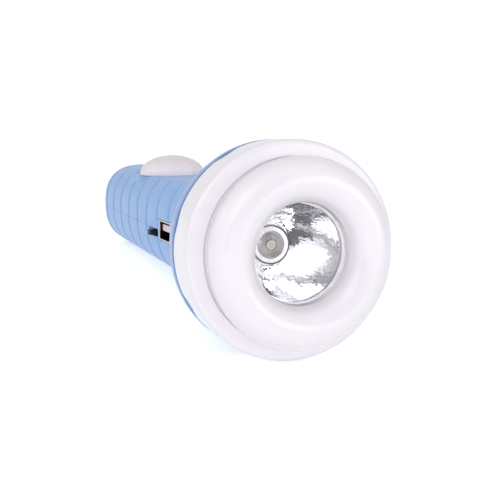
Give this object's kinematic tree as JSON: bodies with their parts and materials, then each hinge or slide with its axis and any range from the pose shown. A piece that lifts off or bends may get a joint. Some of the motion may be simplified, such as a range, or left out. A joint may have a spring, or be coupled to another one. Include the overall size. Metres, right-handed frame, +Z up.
{
  "type": "led flashlight",
  "caption": "Small rechargeable LED flashlight with a round white bezel, a blue ribbed handle, a slide switch, a side charging socket and a domed side lamp",
  "frame": {"origin": "middle of the floor that the torch covers as it lies on its collar and tail", "axes": "+Y runs from the lens to the tail, +Z is up, +X is the side away from the switch and the charging socket"},
  "size_m": [0.0498, 0.163, 0.0507],
  "materials": {
    "white_gloss_plastic": "moulded gloss plastic, slightly cool white",
    "white_inner_plastic": "moulded white plastic",
    "blue_plastic": "moulded light blue plastic, satin",
    "black_plastic": "moulded black plastic",
    "pale_rubber": "soft pale rubber",
    "clear_plastic": "clear polished plastic",
    "clear_silicone": "clear silicone",
    "reflector_coat": "vacuum-coated mirror with fine dimples",
    "bare_steel": "plated steel",
    "socket_steel": "nickel-plated sheet steel",
    "socket_plastic": "pale moulded plastic",
    "contact_gold": "gold flash on copper",
    "circuit_board": "green solder mask",
    "led_white": "white moulded resin",
    "led_phosphor": "yellow phosphor",
    "cell_sleeve": "shrink sleeve, plain",
    "red_wire": "red insulation",
    "black_wire": "black insulation"
  },
  "bodies": {
    "torch_body": {"reflector": "reflector_coat", "reflector_holder": "white_inner_plastic", "led_body": "led_white", "led_slug": "bare_steel", "led_chip": "led_phosphor", "led_dome": "clear_silicone", "led_board": "circuit_board", "head_collar": "blue_plastic", "upper_shell": "blue_plastic", "lower_shell": "blue_plastic", "lamp_dome": "clear_plastic", "lamp_tray": "white_inner_plastic", "lamp_board": "circuit_board", "lamp_led_1": "led_phosphor", "lamp_led_2": "led_phosphor", "lamp_led_3": "led_phosphor", "switch_body": "black_plastic", "usb_shell": "socket_steel", "usb_insulator": "socket_plastic", "usb_contact_1": "contact_gold", "usb_contact_2": "contact_gold", "usb_contact_3": "contact_gold", "usb_contact_4": "contact_gold", "main_board": "circuit_board", "charge_chip": "black_plastic", "board_inductor": "black_plastic", "board_capacitor": "bare_steel", "battery_cell": "cell_sleeve", "battery_terminal": "bare_steel", "battery_tab_front": "bare_steel", "battery_tab_rear": "bare_steel", "shell_screw_1": "bare_steel", "shell_screw_2": "bare_steel", "shell_screw_3": "bare_steel", "shell_screw_4": "bare_steel", "led_wire_positive": "red_wire", "led_wire_negative": "black_wire", "lamp_wire_positive": "red_wire", "lamp_wire_negative": "black_wire", "battery_wire_positive": "red_wire", "battery_wire_negative": "black_wire"},
    "lens_carrier": {"front_lens": "clear_plastic", "lens_seal": "pale_rubber"},
    "bezel": {"bezel_ring": "white_gloss_plastic"},
    "switch_slider": {"switch_knob": "black_plastic"}
  },
  "joints": [
    {"name": "bezel_draw", "type": "slide", "parent": "torch_body", "child": "lens_carrier", "axis": [0, -0.9965, 0.0838], "range_m": [0, 0.0045]},
    {"name": "bezel_turn", "type": "hinge", "parent": "lens_carrier", "child": "bezel", "pos_m": [0, -0.07129, 0.02598], "axis": [0, -0.9965, 0.0838], "range_deg": [0, 540]},
    {"name": "switch_slide", "type": "slide", "parent": "torch_body", "child": "switch_slider", "axis": [0, 0.9965, -0.0838], "range_m": [-0.0025, 0.0025]}
  ],
  "couplings": [
    {"joint": "bezel_draw", "follows": "bezel_turn", "m_per_rad": 0.00047746}
  ]
}
